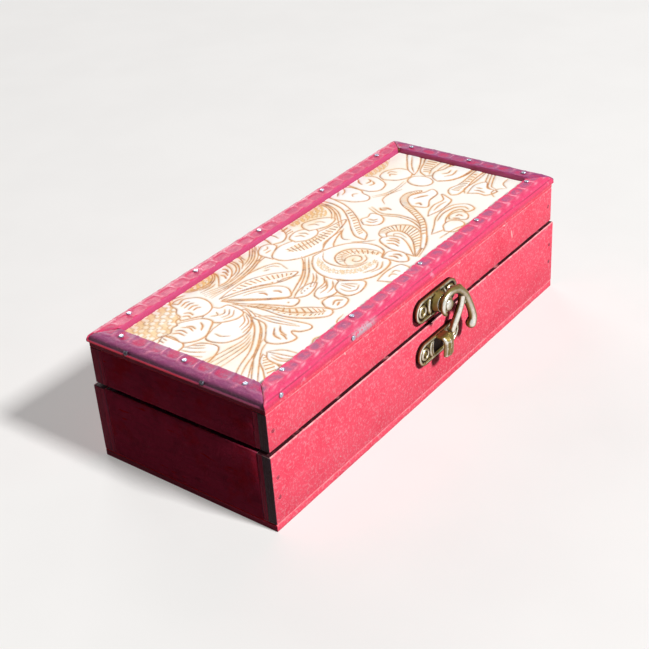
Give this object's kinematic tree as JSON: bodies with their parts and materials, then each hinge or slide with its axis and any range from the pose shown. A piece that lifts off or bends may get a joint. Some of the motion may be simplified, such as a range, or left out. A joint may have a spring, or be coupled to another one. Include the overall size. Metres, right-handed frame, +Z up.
{
  "type": "pen box",
  "caption": "Long wooden pen box with a hinged lid, a sunken tooled leather panel in a raised embossed leather frame, and a swing-hook latch on the front.",
  "frame": {"origin": "centre of the box's underside, on the surface that it stands on", "axes": "+X along the length, to the right of someone facing the latch; -Y out of the front, where the latch is; +Z up"},
  "size_m": [0.2003, 0.0946, 0.0554],
  "materials": {
    "stained_board": "red wood stain, satin",
    "frame_slat": "plain sawn",
    "trim_leather": "crimson, embossed, satin",
    "tooled_leather": "cream, tooled, tan in the lines",
    "antique_brass": "antiqued, rubbed bright on the high places",
    "bright_steel": "bright tack and brad heads",
    "velvet_lining": "flocked velvet"
  },
  "bodies": {
    "base": {"base_back_board": "stained_board", "base_bottom_board": "stained_board", "base_front_board": "stained_board", "base_left_end": "stained_board", "base_lining_floor": "velvet_lining", "base_lining_walls": "velvet_lining", "base_nails": "bright_steel", "base_right_end": "stained_board", "hinge_leaf_base_left": "antique_brass", "hinge_leaf_base_right": "antique_brass", "hinge_nails_base": "antique_brass", "hinge_pin_left": "antique_brass", "hinge_pin_right": "antique_brass", "keeper_nails": "antique_brass", "latch_keeper": "antique_brass"},
    "lid": {"hinge_leaf_lid_left": "antique_brass", "hinge_leaf_lid_right": "antique_brass", "hinge_nails_lid": "antique_brass", "latch_plate": "antique_brass", "latch_plate_nails": "antique_brass", "latch_rivet": "antique_brass", "lid_back_board": "stained_board", "lid_front_board": "stained_board", "lid_left_end": "stained_board", "lid_lining_top": "velvet_lining", "lid_lining_walls": "velvet_lining", "lid_nails": "bright_steel", "lid_right_end": "stained_board", "lid_top_board": "stained_board", "rim_slat_back": "frame_slat", "rim_slat_front": "frame_slat", "rim_slat_left": "frame_slat", "rim_slat_right": "frame_slat", "tooled_panel": "tooled_leather", "trim_back": "trim_leather", "trim_front": "trim_leather", "trim_left": "trim_leather", "trim_right": "trim_leather", "trim_tacks": "bright_steel"},
    "hook": {"latch_hook": "antique_brass"}
  },
  "joints": [
    {"name": "lid_hinge", "type": "hinge", "parent": "base", "child": "lid", "pos_m": [0, 0.0435, 0.033], "axis": [-1, 0, 0], "range_deg": [0, 180]},
    {"name": "hook_swing", "type": "hinge", "parent": "lid", "child": "hook", "pos_m": [0.003, -0.04725, 0.0416], "axis": [0, -1, 0], "range_deg": [-5, 90]}
  ]
}
